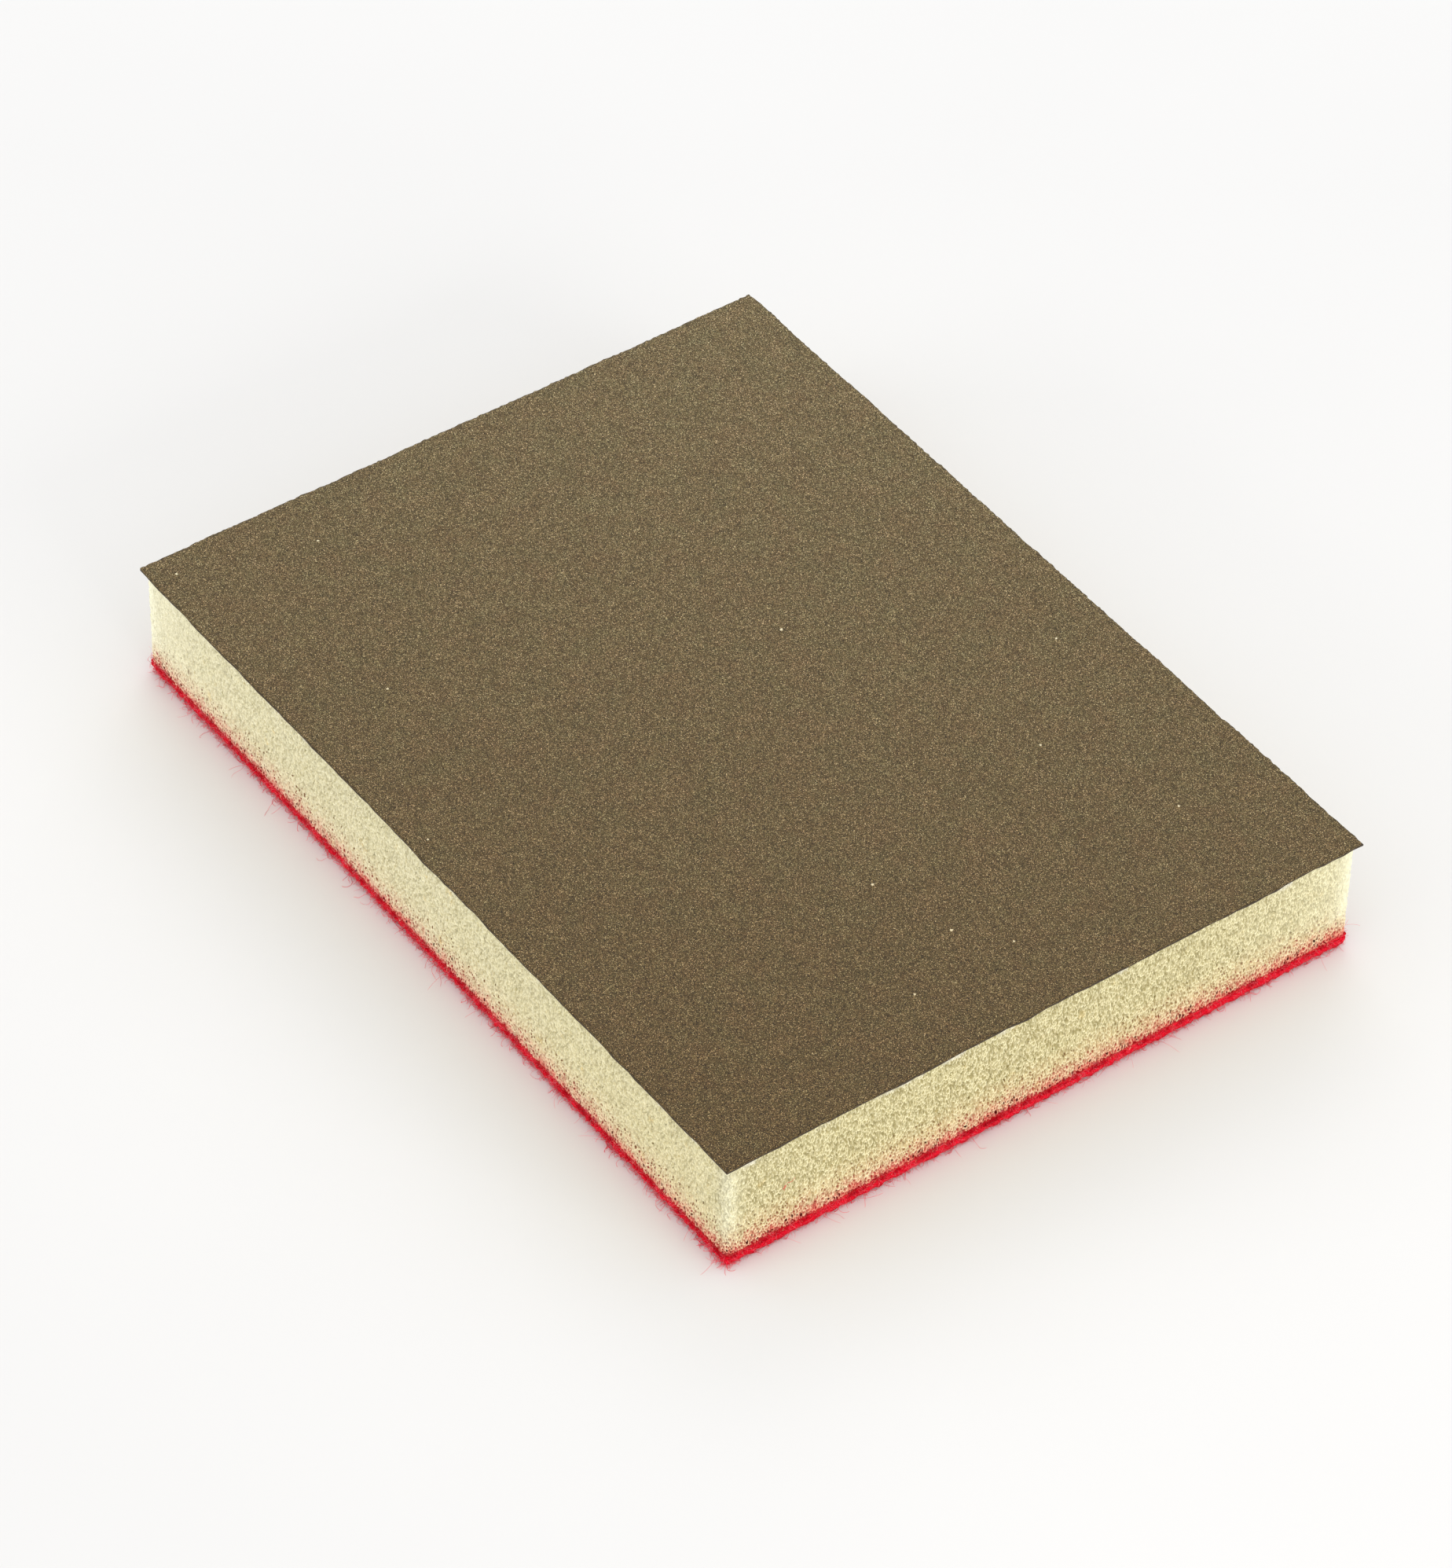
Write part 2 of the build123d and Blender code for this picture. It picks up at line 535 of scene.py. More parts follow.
def floor_material():
    """Plain white card, greyer towards the lights to even it out; painted shade past the front side."""
    material, tree, shader = new_material("floor", specular=0.1)
    cloud = noise(tree, 40 * MM)
    colour = ramp(tree, cloud, (0.3, (0.808, 0.802, 0.793)), (0.7, (0.814, 0.808, 0.799)))
    x, y = coordinate(tree, "X"), coordinate(tree, "Y")
    up = math_node(tree, "MULTIPLY", y, 0.6)
    behind = math_node(tree, "SUBTRACT", up, math_node(tree, "MULTIPLY", x, 0.8))
    painted_floor_shade = tint(tree, colour, (0.94, 0.943, 0.947))
    colour = mix(tree, scaled(tree, behind, 0.0, 100 * MM), colour, painted_floor_shade)
    # Painted shade on the floor beyond the pad's front side, where its shadow falls
    painted_floor_shade = tint(tree, colour, (0.96, 0.96, 0.96))
    colour = mix(tree, scaled(tree, y, -30 * MM, -100 * MM), colour, painted_floor_shade)
    tree.links.new(colour, shader.inputs["Base Color"])
    shader.inputs["Roughness"].default_value = 0.9
    return material


# ---- pieces

def stand_in(piece, node, material, body):
    """The piece shows a CAD node, with its own material, and rides with a body."""
    piece.data.materials.append(material)
    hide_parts(node)
    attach(piece, body)


def squash_with_foam(piece):
    """The piece gets a mesh of its own, which no other object shares."""
    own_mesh(piece)


# ---- abrasive sheet

def sheet_grid(step):
    """A grid over the sheet, its rim wandering slightly as a guillotined edge does."""
    across, up, x, y = face_grid("backing_sheet", step)
    random = np.random.default_rng(SHEET_SEED)
    edges = [random.spawn(1)[0] for _ in range(4)]
    end_waves = [smooth_noise(y, edge, 45 * MM, 6 * MM) for edge in edges[:2]]
    side_waves = [smooth_noise(x, edge, 60 * MM, 6 * MM) for edge in edges[2:]]
    nick = random.normal(0, NICK, x.shape)
    out = np.where(across > 0, *end_waves) * SHEET_WAVE * across**2 * np.sign(across)
    aside = np.where(up > 0, *side_waves) * SHEET_WAVE * up**2 * np.sign(up)
    x = x + out + np.where(abs(across) == 1, nick, 0)
    y = y + aside + np.where(abs(up) == 1, nick, 0)
    return x, y


def sheet_slab(name, bottom, top, step, relief=0.0):
    """One layer of the sheet as a closed slab. Its top may be rough."""
    x, y = sheet_grid(step)
    random = np.random.default_rng(GRIT_SEED)
    rough = random.normal(0, 1, x.shape) * relief
    return grid_slab(name, np.stack([x, y, top + rough], axis=-1), bottom, upward=True)


def crystals(name, level):
    """Grains standing through the glaze: small irregular double pyramids, each turned its own way.

    A few are crumbs of cream foam dust, larger and paler than the rest.
    """
    low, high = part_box("size_coat")
    random = np.random.default_rng(CRYSTAL_SEED)
    count = CRYSTAL_COUNT
    crumb = np.arange(count) < CRUMB_COUNT
    size = np.where(crumb, CRUMB_SIZE, CRYSTAL_SIZE)[:, None, None]
    x = random.uniform(low[0] + CRUMB_SIZE, high[0] - CRUMB_SIZE, count)
    y = random.uniform(low[1] + CRUMB_SIZE, high[1] - CRUMB_SIZE, count)
    centre = np.stack([x, y, np.full(count, level)], axis=1)
    corners = np.array([(1, 0, 0), (-1, 0, 0), (0, 1, 0), (0, -1, 0), (0, 0, 1), (0, 0, -1)], float)
    shape = corners * random.uniform(0.55, 1.25, (count, 6, 1)) * size
    turn = np.linalg.qr(random.normal(0, 1, (count, 3, 3)))[0]
    turn *= np.sign(np.linalg.det(turn))[:, None, None]
    points = np.einsum("nij,nkj->nki", turn, shape) + centre[:, None, :]
    upper = [(0, 2, 4), (2, 1, 4), (1, 3, 4), (3, 0, 4)]
    lower = [(2, 0, 5), (1, 2, 5), (3, 1, 5), (0, 3, 5)]
    faces = (np.array(upper + lower)[None] + 6 * np.arange(count)[:, None, None]).reshape(-1, 3)
    made = mesh_object(name, points.reshape(-1, 3), faces, smooth=False)
    paleness = np.where(crumb, 1.0, random.uniform(0, 0.985, count))
    add_attribute(made, "paleness", np.repeat(paleness, 6))
    return made


def abrasive_sheet():
    """Backing, make coat, glaze and grains. All ride with the side that the foam carries."""
    backing_low, backing_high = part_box("backing_sheet")
    make_low, make_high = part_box("make_coat")
    size_low, size_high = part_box("size_coat")
    backing = sheet_slab("backing_paper", backing_low[2], backing_high[2], COARSE_STEP)
    make = sheet_slab("make_coat_film", make_low[2], make_high[2], COARSE_STEP)
    glaze = sheet_slab("grit_glaze", make_high[2], size_high[2], GRID_STEP, GRIT_RELIEF)
    grains = crystals("grit_crystals", size_low[2] + CRYSTAL_LIFT)
    stand_in(backing, "backing_sheet", backing_material(), "abrasive_side")
    stand_in(make, "make_coat", resin_material(), "abrasive_side")
    stand_in(glaze, "size_coat", grit_material(), "abrasive_side")
    stand_in(grains, "abrasive_grains", crystal_material(), "abrasive_side")


# ---- foam

def foam_net(around, low, high, random):
    """A net of irregular pores, laid out flat: distance along the outline, then height.

    The pores' middles are a jittered honeycomb, stretched upwards. Its triangles' centres are
    where struts meet, and two triangles that share a side are joined by a strut, with a pore
    on each side of it.
    """
    columns = round(around / PORE)
    cell = np.array([around / columns, PORE * PORE_STRETCH])
    rows = round((high - low) / (cell[1] * math.sqrt(3) / 2))
    margin = 4
    column, row = np.meshgrid(np.arange(columns), np.arange(-1, rows + 1))
    along = column + 0.5 * (row % 2)
    middles = np.stack([along, (row + 0.5) * (high - low) / rows / cell[1]], axis=-1)
    middles = middles + random.normal(0, PORE_JITTER, middles.shape)
    seam = np.array([columns, 0])
    middles = np.concatenate([middles[:, -margin:] - seam, middles, middles[:, :margin] + seam], axis=1)
    flat = [Vector(middle) for middle in middles.reshape(-1, 2)]
    found = delaunay_2d_cdt(flat, [], [], 0, 1e-6, False)
    middles = np.array(found[0]) * cell + (0, low)
    triangles = np.array(found[2])
    nodes = middles[triangles].mean(axis=1)
    # Each triangle's three sides, matched with the same side of its neighbour
    sides = np.concatenate([triangles[:, [0, 1]], triangles[:, [1, 2]], triangles[:, [2, 0]]])
    corner = np.repeat(np.arange(3), len(triangles))
    owner = np.tile(np.arange(len(triangles)), 3)
    order = np.lexsort(np.sort(sides, axis=1).T)
    matched = (np.sort(sides[order[:-1]], axis=1) == np.sort(sides[order[1:]], axis=1)).all(axis=1)
    first, second = order[:-1][matched], order[1:][matched]
    # A strut from triangle to triangle, and the two corners of each that its pores sit at
    struts = np.stack([owner[first], owner[second]], axis=1)
    pore_corner = np.stack(
        [
            np.stack([corner[first], (corner[second] + 1) % 3], axis=1),
            np.stack([(corner[first] + 1) % 3, corner[second]], axis=1),
        ],
        axis=1,
    )
    centre = nodes[struts].mean(axis=1)
    kept = (centre[:, 0] >= 0) & (centre[:, 0] < around) & (centre[:, 1] > low) & (centre[:, 1] < high)
    return nodes, middles, triangles, struts[kept], pore_corner[kept], centre[kept, 0]


def wrapped_numbers(flat, around):
    """A number for each point of the net, the same for two points a whole turn apart."""
    turn = flat[:, 0] * 2 * math.pi / around
    key = np.column_stack([np.cos(turn), np.sin(turn), flat[:, 1] / PORE])
    return np.unique(np.round(key, 5), axis=0, return_inverse=True)[1]


def foam_outline(inset):
    """The foam's length, width, corner radius and outline length, this far in from its sides."""
    low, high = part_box("foam_core")
    length = high[0] - low[0] - 2 * inset
    width = high[1] - low[1] - 2 * inset
    radius = FOAM_CORNER - 0.4 * inset
    return length, width, radius, 2 * (length + width) - 8 * radius + 2 * math.pi * radius


def corner_distance(points):
    """How far points are from the foam's nearest upright corner, in units of CORNER_GLOW."""
    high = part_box("foam_core")[1]
    return np.hypot(high[0] - abs(points[:, 0]), high[1] - abs(points[:, 1])) / CORNER_GLOW


def corner_wear_and_glow(points):
    """How worn the foam is near its corners, and how much painted glow it has there. Two opposite
    corners are worn smooth and carry a wide painted glow, as of light through thin foam.
    """
    away = corner_distance(points)
    worn = points[:, 0] * points[:, 1] > 0
    palest = np.where(points[:, 0] < 0, 0.6, 0.4)
    return np.where(worn, palest * np.exp(-away / 6), 0.1 * np.exp(-away / 3))


def side_ends(length, width, around):
    """Where the pad's four sides start and end along a foam outline, in the order of SIDE_NAMES."""
    return np.cumsum([0, width, length, width, length]) * around / (2 * (length + width))


def foam_attributes(piece, points, depth):
    """What the foam's material needs: painted shade, height, and painted glow near upright corners."""
    low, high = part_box("foam_core")
    add_attribute(piece, "pore_shade", depth)
    add_attribute(piece, "foam_height", (points[:, 2] - low[2]) / (high[2] - low[2]))
    # A painted glow near each upright corner, as of light through thin foam
    painted_glow = 0.45 * np.exp(-(corner_distance(points) ** 2))
    add_attribute(piece, "corner", painted_glow + corner_wear_and_glow(points))


def half_struts(start, end, dish, shut, side_of):
    """The faces along one side of half of each strut, with the side of the pad each is on.

    Start and end are the numbers of a half's ridges, their backs, and the waists on this side.
    """
    outer = np.stack([start[0], end[0], end[2], start[2]], axis=-1)
    inner = np.stack([start[2], end[2], end[1], start[1]], axis=-1)[~shut]
    dished = np.stack([start[2], end[2], dish], axis=-1)[shut]
    return (outer, side_of), (inner, side_of[~shut]), (dished, side_of[shut])


def foam_skin(name, inset, top, shade, seed):
    """One layer of struts round the foam's sides up to a level, in four pieces, one for each side.

    A strut is a ridge, thinnest at its middle, with a waist on each side where it bounds a pore.
    A closed pore is a dish from waist to waist, and some are deep pits. Round an open pore the
    struts have a second ridge behind. The lowest struts fray over the edge of the fabric.
    """
    low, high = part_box("foam_core")
    length, width, radius, around = foam_outline(inset)
    random = np.random.default_rng(seed)
    bottom = low[2] - FRAYED
    top_height = low[2] + top * (high[2] - low[2])
    net = foam_net(around, bottom, top_height, random)
    nodes, middles, triangles, struts, pore_corner, centre = net
    node = wrapped_numbers(nodes, around)
    pore = wrapped_numbers(middles, around)

    def draw(numbers, lowest, highest):
        return random.uniform(lowest, highest, len(numbers))[numbers]

    cut = draw(node, 0, 1) ** 2 * NODE_DEPTH
    lean = draw(pore, *WAIST)
    waist_drop = draw(pore, *WAIST_DEPTH)
    level = (middles[:, 1] - low[2]) / (high[2] - low[2])
    level = level + 0.05 * smooth_noise(middles[:, 0], random, 30 * MM, 2 * MM)
    closed = draw(pore, 0, 1) > np.interp(level, *OPEN_PORES)
    pit = draw(pore, 0, 1) < np.interp(level, *PITS)
    dish_depth = np.where(pit, draw(pore, *PIT_DEPTH), draw(pore, *DISH_DEPTH))
    facing = walk_outline(length, width, radius, middles[:, 0] % around)[1]
    dish_shade = np.where(pit, PIT_SHADE + abs(facing[:, 1]), draw(pore, *DISH_SHADE))
    foot = bottom + FRAYED * (0.5 + 0.5 * smooth_noise(centre, random, 2.0 * MM, 0.4 * MM))
    standing = np.clip(nodes[struts][:, :, 1].min(axis=1), bottom, None) >= foot
    struts, pore_corner, centre = struts[standing], pore_corner[standing], centre[standing]
    first, second = struts.T
    straight = nodes[second] - nodes[first]
    bend = random.normal(0, STRUT_BEND, (len(struts), 1)) * straight[:, ::-1] * (1, -1)
    ridge = (nodes[first] + nodes[second]) / 2 + bend
    ridge_cut = (cut[first] + cut[second]) / 2 + random.uniform(0, 0.2, len(struts))
    waist = nodes[:, None] + (middles[triangles] - nodes[:, None]) * lean[triangles][..., None]
    waist_depth = cut[:, None] + waist_drop[triangles]
    # The points: nodes and their backs, waists, middles of dishes, then ridges and their backs
    flat = [nodes, nodes, waist.reshape(-1, 2), middles, ridge, ridge]
    depth = [cut, cut + 1, waist_depth.ravel(), dish_depth, ridge_cut, ridge_cut + 0.9]
    # How much painted shade each point gets: the deeper, the darker
    sunk = [0.8 * cut, np.ones(len(nodes)), np.full(waist_depth.size, WAIST_SHADE), dish_shade]
    sunk += [0.8 * ridge_cut, np.ones(len(ridge))]
    back, waists, dishes, ridges, ridge_backs, thins = np.cumsum([len(part) for part in flat])
    side_of = np.searchsorted(side_ends(length, width, around)[1:-1], centre)
    number = np.arange(len(struts))
    faces = {4: [], 3: []}
    for side in range(2):
        beside = triangles[first, pore_corner[:, side, 0]]
        shut = closed[beside]
        near = waists + 3 * first + pore_corner[:, side, 0]
        far = waists + 3 * second + pore_corner[:, side, 1]
        thin = thins + side * len(struts) + number
        flat.append(ridge + (middles[beside] - ridge) * 0.7 * lean[beside][:, None])
        depth.append(ridge_cut + waist_drop[beside])
        sunk.append(np.full(len(struts), WAIST_SHADE))
        middle = (ridges + number, ridge_backs + number, thin)
        halves = (((first, first + back, near), middle), (middle, (second, second + back, far)))
        for start, end in halves:
            for corners, sides in half_struts(start, end, beside + dishes, shut, side_of):
                turned = corners[:, ::-1] if side == 0 else corners
                faces[corners.shape[1]].append((turned, sides))
    flat, depth, sunk = np.concatenate(flat), np.concatenate(depth), np.concatenate(sunk)
    point, normal = walk_outline(length, width, radius, flat[:, 0] % around)
    height = np.clip(flat[:, 1], bottom, top_height)
    depth = depth * STRUT_DEPTH * (1 - 0.8 * corner_wear_and_glow(point))
    points = np.column_stack([point - normal * depth[:, None], height])
    return skin_pieces(name, points, shade + (1 - shade) * sunk, faces)


def skin_pieces(name, points, sunk, faces):
    """Four objects, one for each side of the pad, from one set of points and its faces."""
    made = []
    for side, side_name in enumerate(SIDE_NAMES):
        arrays = [
            np.concatenate([corners[sides == side] for corners, sides in groups])
            for groups in faces.values()
        ]
        corners = np.concatenate([array.ravel() for array in arrays])
        used, renumbered = np.unique(corners, return_inverse=True)
        parts = np.split(renumbered, [arrays[0].size])
        arrays = [part.reshape(array.shape) for part, array in zip(parts, arrays)]
        piece = mesh_object(f"{name}_{side_name}", points[used], *arrays)
        foam_attributes(piece, points[used], sunk[used])
        made.append(piece)
    return made


def foam_heart(name, inset):
    """The foam behind the struts: a closed block, lumpy at its sides with cells out of reach."""
    low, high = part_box("foam_core")
    length, width, radius, around = foam_outline(inset)
    columns = round(around / (0.5 * PORE))
    rows = round((high[2] - low[2]) / (0.5 * PORE)) + 1
    along = np.arange(columns) * around / columns
    point, normal = walk_outline(length, width, radius, along)
    random = np.random.default_rng(HEART_SEED)
    lump = random.uniform(0, HEART_LUMP, (rows, columns))
    ring = point[None] - normal[None] * lump[..., None]
    height = np.linspace(low[2], high[2], rows)[:, None] * np.ones(columns)
    points = np.concatenate([ring, height[..., None]], axis=-1).reshape(-1, 3)
    index = np.arange(rows * columns).reshape(rows, columns)
    after = np.roll(index, -1, axis=1)
    walls = np.stack([index[:-1], after[:-1], after[1:], index[1:]], axis=-1).reshape(-1, 4)
    heart = mesh_object(name, points, walls, index[0][::-1][None], index[-1][None])
    # Painted shade: the heart takes the dark colour of the deep pits
    foam_attributes(heart, points, np.ones(len(points)))
    return heart


def foam_block():
    """All of the foam. It is carried by the fabric."""
    material = foam_material()
    pieces = foam_skin("foam_struts", 0.0, 1.0, 0.0, STRUT_SEED)
    pieces += foam_skin("foam_cells", SECOND_SKIN_INSET, SECOND_SKIN_TOP, 0.5, CELL_SEED)
    pieces.append(foam_heart("foam_heart", HEART_INSET))
    for piece in pieces:
        stand_in(piece, "foam_core", material, "fabric_side")
        squash_with_foam(piece)


# ---- loop fabric

def lumpy_slab(name, bottom, top, lumps, rolled, under_side, random):
    """A closed slab the size of the foam, uneven at its rim and below.

    Its lower rim is rolled up by two shares of its thickness: at the ends, and along the sides.
    """
    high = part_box("foam_core")[1]
    across, up, x, y = face_grid("foam_core", FABRIC_STEP)
    from_end, from_side = high[0] - abs(x), high[1] - abs(y)
    roll = np.clip(1 - np.minimum(from_end, from_side) / PILE_EDGE, 0, 1)
    share = np.where(from_end < from_side, *rolled)
    z = bottom + under_side(x, y) * lumps + share * roll**2 * (top - bottom)
    z = np.clip(z, 0, top - 0.1 * (top - bottom))
    knots = [smooth_noise(values, random, 4 * MM, 0.8 * MM) * RIM_LUMP for values in (y, x)]
    wander = random.normal(0, 0.3 * RIM_LUMP, (2, *x.shape)) + knots - 0.5 * RIM_LUMP
    x = x + np.where(abs(across) == 1, np.sign(across) * wander[0], 0)
    y = y + np.where(abs(up) == 1, np.sign(up) * wander[1], 0)
    return grid_slab(name, np.stack([x, y, z], axis=-1), top, upward=False)


def curling_paths(root, heading, reach, curl, steps, radius, random):
    """Fibres that set off along their headings and bend as they go, lying on the floor they meet."""
    step = (reach / steps)[:, None]
    turn = (curl / steps)[:, None]
    heading = heading / np.linalg.norm(heading, axis=1, keepdims=True)
    axis = random.normal(0, 1, (len(root), 3))
    axis /= np.linalg.norm(axis, axis=1, keepdims=True)
    points = [root]
    for _ in range(steps):
        heading = (
            heading * np.cos(turn)
            + np.cross(axis, heading) * np.sin(turn)
            + axis * (axis * heading).sum(axis=1, keepdims=True) * (1 - np.cos(turn))
        )
        axis = axis + random.normal(0, 0.2, axis.shape)
        axis /= np.linalg.norm(axis, axis=1, keepdims=True)
        point = points[-1] + heading * step
        point[:, 2] = np.maximum(point[:, 2], 1.2 * radius)
        points.append(point)
    return np.stack(points, axis=1)


def fibre_reach(typical, spread, shortest, longest, count, random):
    """How long each fibre is, in metres. Most are near the typical length."""
    reach = random.lognormal(math.log(typical), spread, count)
    return np.clip(reach, shortest, longest) * MM


def fibre_tubes(name, paths, thickness, random):
    """Thin three-sided tubes along the paths, closed and tapered at their tips."""
    count, steps = paths.shape[:2]
    tangent = np.gradient(paths, axis=1)
    tangent /= np.linalg.norm(tangent, axis=2, keepdims=True) + 1e-12
    reference = random.normal(0, 1, (count, 1, 3))
    side = np.cross(tangent, reference)
    side /= np.linalg.norm(side, axis=2, keepdims=True) + 1e-12
    other = np.cross(tangent, side)
    taper = np.interp(np.arange(steps), (0, steps - 2, steps - 1), (1, 0.85, 0.3))
    radius = thickness * random.uniform(0.7, 1.3, (count, 1)) * taper
    ring = []
    for corner in range(3):
        angle = corner * 2 * math.pi / 3
        ring.append(paths + radius[..., None] * (side * math.cos(angle) + other * math.sin(angle)))
    points = np.stack(ring, axis=2).reshape(-1, 3)
    points[:, 2] = np.maximum(points[:, 2], 0)
    number = np.arange(count * steps * 3).reshape(count, steps, 3)
    beside = np.roll(number, -1, axis=2)
    walls = np.stack([number[:, :-1], beside[:, :-1], beside[:, 1:], number[:, 1:]], axis=-1)
    ends = np.concatenate([number[:, 0, ::-1], number[:, -1]])
    return mesh_object(name, points, walls.reshape(-1, 4), ends)


def rim_roots(along, lowest, over_knit, random):
    """Roots on the fabric's rim, up to just over the knit, and their ways outward and sideways."""
    length, width, radius, _ = foam_outline(0.0)
    point, normal = walk_outline(length, width, radius, along)
    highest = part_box("loop_ground_knit")[1][2] + over_knit
    height = random.uniform(lowest, highest, len(along))
    root = np.column_stack([point - normal * RIM_ROOT, height])
    outward = np.column_stack([normal, np.zeros(len(along))])
    forward = np.column_stack([-normal[:, 1], normal[:, 0], np.zeros(len(along))])
    return root, outward, forward


def rim_fuzz(random):
    """The dense short fuzz of the pile's cut rim, one piece for each side."""
    length, width, _, around = foam_outline(0.0)
    ends = side_ends(length, width, around)
    pieces = []
    for side_name, share, start, end in zip(SIDE_NAMES, FUZZ_SHARES, ends[:-1], ends[1:]):
        count = round(FUZZ_COUNT * share * (end - start) / around)
        along = random.uniform(start, end, count)
        root, outward, forward = rim_roots(along, 0.1 * MM, 0.4 * MM, random)
        heading = outward + forward * random.normal(0, 0.9, (count, 1))
        heading[:, 2] += random.normal(-0.1, 0.5, count)
        reach = RIM_ROOT + fibre_reach(*FUZZ_REACH, count, random)
        curl = random.uniform(0.3, 2.6, count)
        paths = curling_paths(root, heading, reach, curl, 4, FUZZ_RADIUS, random)
        pieces.append(fibre_tubes(f"rim_fuzz_{side_name}", paths, FUZZ_RADIUS, random))
    return pieces


def foot_fuzz(random):
    """Tufts of fibre that stand up from the fabric's rim over the foot of the foam."""
    around = foam_outline(0.0)[3]
    count = FOOT_FUZZ_COUNT
    tufts = random.uniform(0, around, count // FOOT_TUFT)
    along = (random.choice(tufts, count) + random.normal(0, 0.22 * MM, count)) % around
    root, outward, forward = rim_roots(along, 0.9 * MM, 0.0, random)
    root += outward * FOOT_ROOT
    heading = outward * random.uniform(0.05, 0.3, (count, 1))
    heading += forward * random.normal(0, 0.5, (count, 1))
    heading[:, 2] += random.uniform(0.2, 1.0, count)
    reach = fibre_reach(*FOOT_REACH, count, random)
    curl = random.uniform(0.3, 2.0, count)
    paths = curling_paths(root, heading, reach, curl, 4, FUZZ_RADIUS, random)
    return fibre_tubes("foot_fuzz", paths, 1.2 * FUZZ_RADIUS, random)


def rim_curls(random):
    """Loops pulled out at the rim, bunched here and there, and a few long loose hairs.

    A tuft of them stands out at the front corner, where the outline starts.
    """
    length, width, _, around = foam_outline(0.0)
    ends = side_ends(length, width, around)
    side = random.choice(4, CURL_COUNT, p=np.array(CURL_SHARES) / sum(CURL_SHARES))
    loose = ends[side] + random.uniform(0, 1, CURL_COUNT) * np.diff(ends)[side]
    bunches = random.choice(loose, BUNCH_COUNT)
    nearest = bunches[abs(loose[:, None] - bunches).argmin(axis=1)]
    bunched = nearest + random.normal(0, 0.5 * MM, CURL_COUNT)
    along = np.where(random.uniform(0, 1, CURL_COUNT) < 0.5, loose, bunched)
    tuft = random.normal(-0.5 * MM, 0.35 * MM, CORNER_TUFT_COUNT)
    along = np.concatenate([along, tuft, random.uniform(0, around, HAIR_COUNT)]) % around
    count = len(along)
    hair = np.arange(count) >= CURL_COUNT + CORNER_TUFT_COUNT
    root, outward, forward = rim_roots(along, 0.1 * MM, 0.0, random)
    heading = outward + forward * random.normal(0, 0.7, (count, 1))
    heading[:, 2] += random.normal(0, 0.4, count)
    reach = fibre_reach(*CURL_REACH, count, random)
    reach = np.where(hair, random.uniform(1.4, 3.2, count) * MM, reach)
    curl = random.uniform(2.5, 7.5, count)
    curl = np.where(hair, random.uniform(0.3, 2.2, count), curl)
    paths = curling_paths(root, heading, reach, curl, 11, CURL_RADIUS, random)
    thickness = np.where(hair, HAIR_RADIUS, CURL_RADIUS)[:, None]
    return fibre_tubes("rim_curls", paths, thickness, random)


def under_loops(random):
    """The brushed loops of the underside, standing in rows with the knit, in two pieces."""
    low, high = (np.array(corner[:2]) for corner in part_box("foam_core"))
    count = UNDER_LOOP_COUNT // 2
    pieces = []
    for half_name, start, end in (("front", 0, high[0]), ("back", low[0], 0)):
        x = random.uniform(start, end, count)
        y = random.uniform(low[1], high[1], count)
        x = np.round(x / WALE) * WALE + random.normal(0, 0.12 * MM, count)
        inside = np.clip(np.stack([x, y], axis=1), low + RIM_ROOT, high - RIM_ROOT)
        root = np.column_stack([inside, np.full(count, 0.55 * MM)])
        heading = random.normal(0, 1, (count, 3)) * (1, 1, 0.3) - (0, 0, 1.2)
        reach = random.uniform(1.2, 2.6, count) * MM
        curl = random.uniform(2.0, 4.5, count)
        paths = curling_paths(root, heading, reach, curl, 7, UNDER_LOOP_RADIUS, random)
        paths[..., :2] = np.clip(paths[..., :2], low, high)
        name = f"under_loops_{half_name}"
        pieces.append(fibre_tubes(name, paths, UNDER_LOOP_RADIUS, random))
    return pieces


def stray_lint(random):
    """A scrap of the fabric's fibre that clings to the foam's front end."""
    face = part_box("foam_core")[1][0] + 0.04 * MM
    root = np.array([(face, *LINT_PLACE)] * LINT_FIBRES)
    root += random.normal(0, 0.15 * MM, root.shape) * (0, 1, 1)
    heading = random.normal(0, 1, root.shape) * (0, 1, 1)
    reach = random.uniform(0.8, 1.5, LINT_FIBRES) * MM
    curl = random.uniform(3.0, 7.0, LINT_FIBRES)
    paths = curling_paths(root, heading, reach, curl, 11, CURL_RADIUS, random)
    paths[..., 0] = face + 0.25 * abs(paths[..., 0] - face)
    return fibre_tubes("foam_lint", paths, CURL_RADIUS, random)


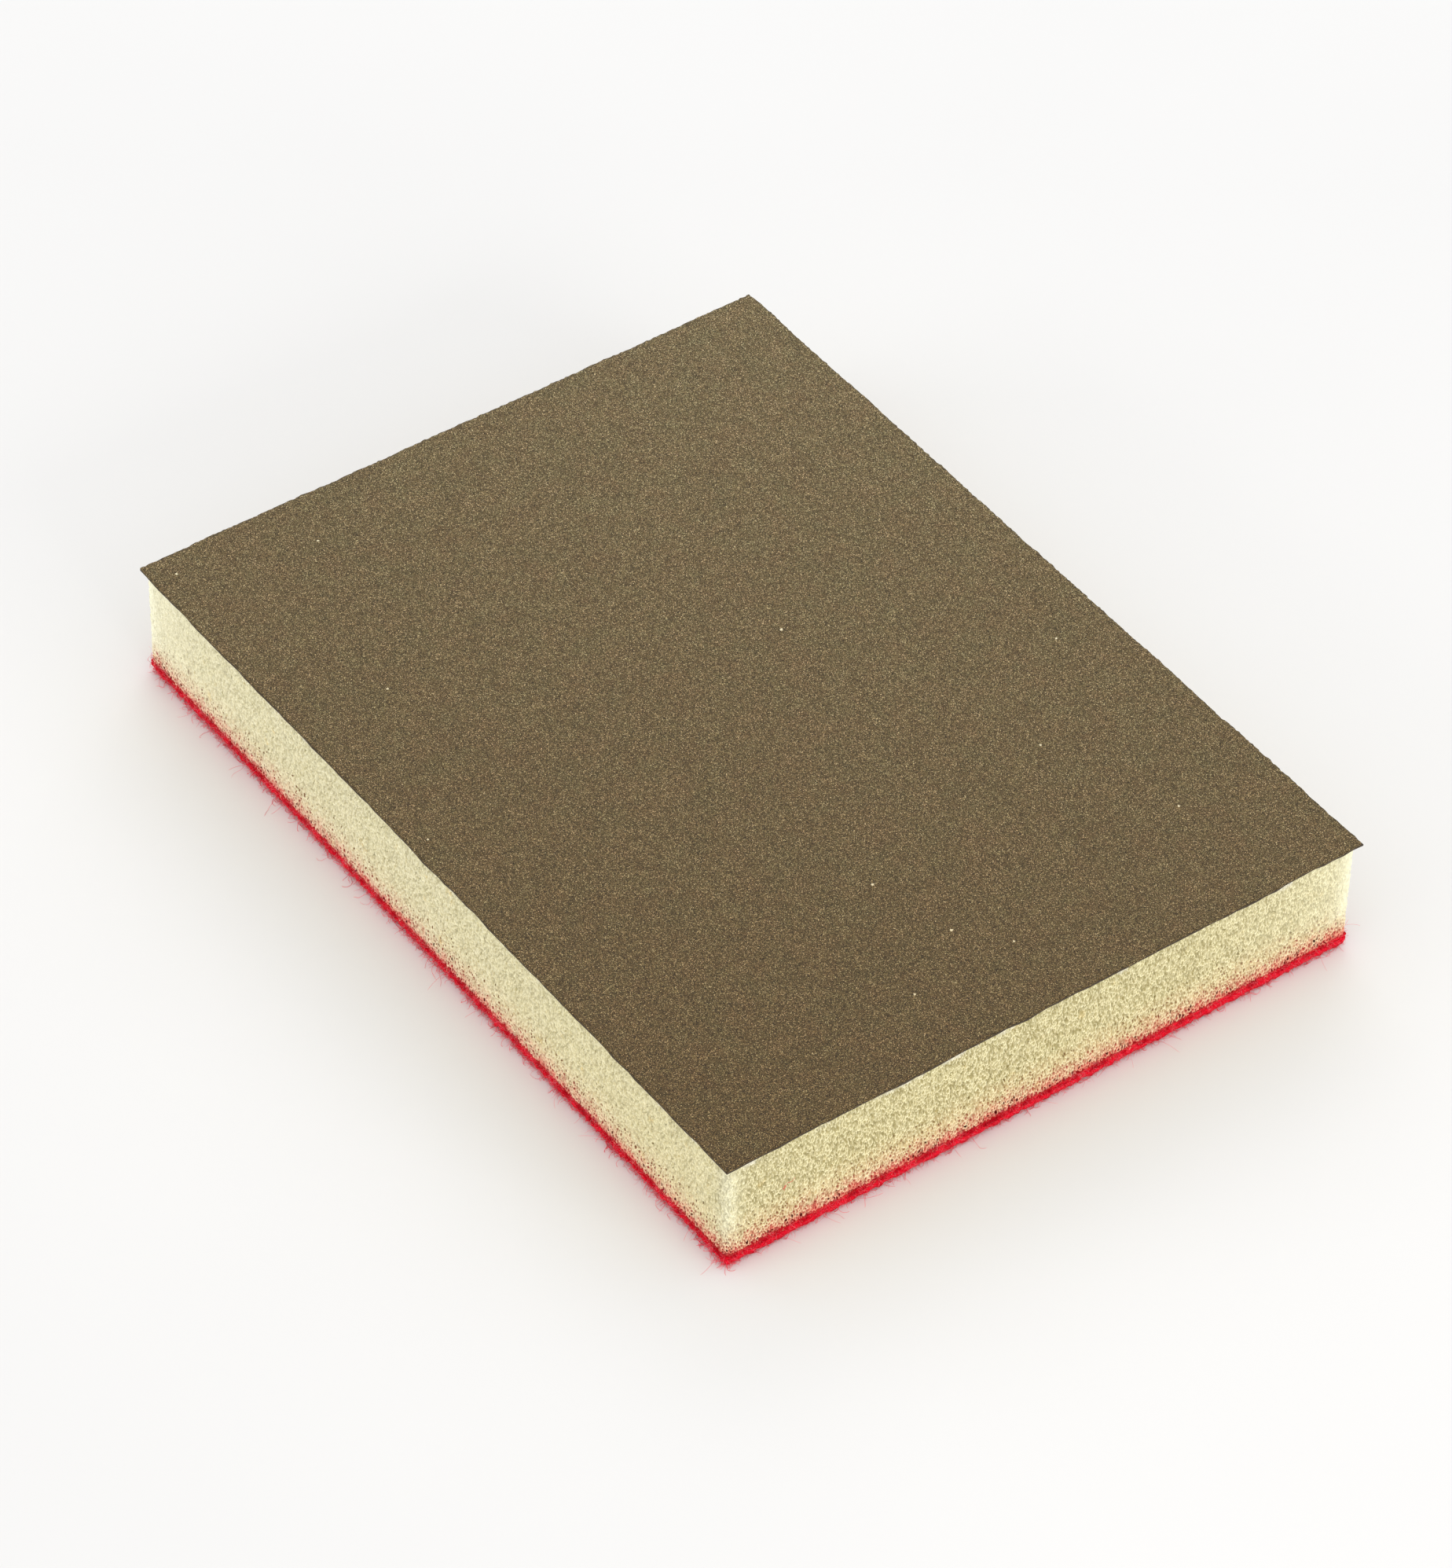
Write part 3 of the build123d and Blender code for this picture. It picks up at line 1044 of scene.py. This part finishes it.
def loop_fabric():
    """The knitted ground with its brushed pile. It lies flat on whatever the pad rests on.

    The fuzz along the front side is painted pinker than the rest: painted light, as where the
    floor shows through thin fuzz.
    """
    knit_low, knit_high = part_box("loop_ground_knit")
    random = np.random.default_rng(FABRIC_SEED)

    def tufts(x, y):
        rows = np.cos(2 * math.pi * x / WALE) * np.cos(math.pi * y / WALE)
        return 0.5 - 0.35 * rows + random.uniform(-0.3, 0.3, x.shape)

    def ribs(x, y):
        return 0.5 + 0.5 * np.cos(2 * math.pi * x / WALE)

    mat = lumpy_slab("loop_mat", 0.0, knit_low[2], PILE_LUMP, (0.15, 0.4), tufts, random)
    knit = lumpy_slab("ground_knit", knit_low[2], knit_high[2], KNIT_LUMP, (0.1, 0.3), ribs, random)
    deep, red = (0.5, 0.0, 0.004), (0.97, 0.005, 0.035)
    by_fibre = {"size": 0.1 * MM, "by_fibre": True}
    knit_material = fabric_material("knit", deep, red, 0.25 * MM)
    mat_material = fabric_material("pile", deep, red, 0.2 * MM, shaded_rows=True)
    curl_material = fabric_material("curls", (0.9, 0.002, 0.02), (1.0, 0.1, 0.16), **by_fibre)
    foot_material = fabric_material("foot_fuzz", deep, red, **by_fibre)
    fuzz_material = fabric_material("fuzz", (1.0, 0.005, 0.03), (1.0, 0.4, 0.46), **by_fibre)
    # The front side's fuzz is painted pinker: painted light, as of the floor showing through
    pinker_material = fabric_material("pinker_fuzz", (1.0, 0.03, 0.08), (1.0, 0.4, 0.44), **by_fibre)
    *full_fuzz, pinker_fuzz = rim_fuzz(random)
    foot = foot_fuzz(random)
    curls = [rim_curls(random)] + under_loops(random)
    stand_in(knit, "loop_ground_knit", knit_material, "fabric_side")
    looks = [([mat], mat_material), (full_fuzz, fuzz_material), ([pinker_fuzz], pinker_material)]
    looks += [(curls, curl_material), ([foot], foot_material)]
    for pieces, material in looks:
        for piece in pieces:
            stand_in(piece, "loop_pile", material, "fabric_side")
    lint = stray_lint(np.random.default_rng(LINT_SEED))
    stand_in(lint, "loop_pile", curl_material, "fabric_side")
    squash_with_foam(lint)


def glue_films():
    """The two glue lines keep their CAD shape, and show only as a line at the foam's edge."""
    colours = {
        "upper_adhesive": ("upper_glue", (0.8, 0.72, 0.45), (0.6, 0.5, 0.28)),
        "lower_adhesive": ("lower_glue", (0.7, 0.03, 0.03), (0.45, 0.0, 0.005)),
    }
    for node, look in colours.items():
        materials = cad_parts[node].data.materials
        materials.clear()
        materials.append(glue_material(*look))


# ---- scene

def camera():
    scene = bpy.context.scene
    data = bpy.data.cameras.new("camera")
    data.lens = LENS
    data.sensor_width = SENSOR
    data.clip_start = 10 * MM
    made = bpy.data.objects.new("camera", data)
    scene.collection.objects.link(made)
    turn, tilt = CAMERA_AZIMUTH, CAMERA_ELEVATION
    back = Vector((math.sin(turn) * math.cos(tilt), -math.cos(turn) * math.cos(tilt), math.sin(tilt)))
    right = Vector((math.cos(turn), math.sin(turn), 0))
    up = back.cross(right)
    rolled_right = right * math.cos(CAMERA_ROLL) + up * math.sin(CAMERA_ROLL)
    rolled_up = up * math.cos(CAMERA_ROLL) - right * math.sin(CAMERA_ROLL)
    top = Vector((0, 0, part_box("size_coat")[1][2]))
    position = top + back * CAMERA_DISTANCE + rolled_right * CAMERA_RIGHT + rolled_up * CAMERA_UP
    axes = Matrix((rolled_right, rolled_up, back)).transposed().to_4x4()
    made.matrix_world = Matrix.Translation(position) @ axes
    scene.camera = made


def area_light(name, power, size, position):
    """A soft rectangular light that faces the pad."""
    data = bpy.data.lights.new(name, "AREA")
    data.energy = power
    data.shape = "RECTANGLE"
    data.size, data.size_y = size
    made = bpy.data.objects.new(name, data)
    made.location = position
    made.rotation_euler = (-Vector(position)).to_track_quat("-Z", "Y").to_euler()
    bpy.context.scene.collection.objects.link(made)


def studio():
    scene = bpy.context.scene
    scene.view_settings.view_transform = "Standard"
    world = bpy.data.worlds.new("studio")
    world.use_nodes = True
    background = world.node_tree.nodes["Background"]
    background.inputs["Color"].default_value = (1, 1, 1, 1)
    background.inputs["Strength"].default_value = WORLD_STRENGTH
    scene.world = world
    for name, (power, size, position) in LIGHTS.items():
        area_light(name, power, size, position)
    corners = FLOOR_SIZE / 2 * np.array([(-1, -1, 0), (1, -1, 0), (1, 1, 0), (-1, 1, 0)])
    floor = mesh_object("floor", corners, np.array([[0, 1, 2, 3]]))
    floor.data.materials.append(floor_material())


camera()
studio()
abrasive_sheet()
foam_block()
loop_fabric()
glue_films()
